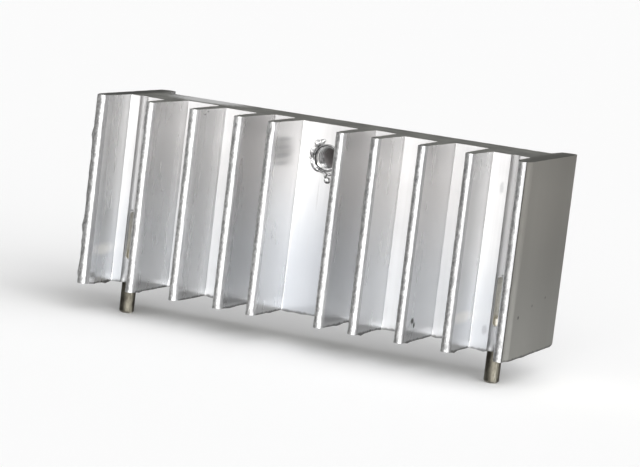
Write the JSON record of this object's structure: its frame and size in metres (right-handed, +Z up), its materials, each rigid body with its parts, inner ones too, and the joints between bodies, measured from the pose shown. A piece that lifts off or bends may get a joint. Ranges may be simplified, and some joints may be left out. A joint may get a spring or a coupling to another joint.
{
  "type": "extruded heat sink",
  "caption": "Aluminium extruded heat sink that stands on solder pins, with round-tipped fins in front, a thick base with a tapped device hole, and rear flanges.",
  "frame": {"origin": "midway between the solder pin axes, in the lower saw-cut face that stands on the board", "axes": "+X along the base to the right seen from the fins, +Y from the fin tips towards the device face, +Z up along the extrusion; the pins point to -Z"},
  "size_m": [0.072, 0.0243, 0.035],
  "materials": {
    "aluminium": "satin mill finish",
    "pin_brass": "dull, tarnished"
  },
  "bodies": {
    "root": {"heat_sink": "aluminium", "solder_pin_left": "pin_brass", "solder_pin_right": "pin_brass"}
  },
  "joints": []
}
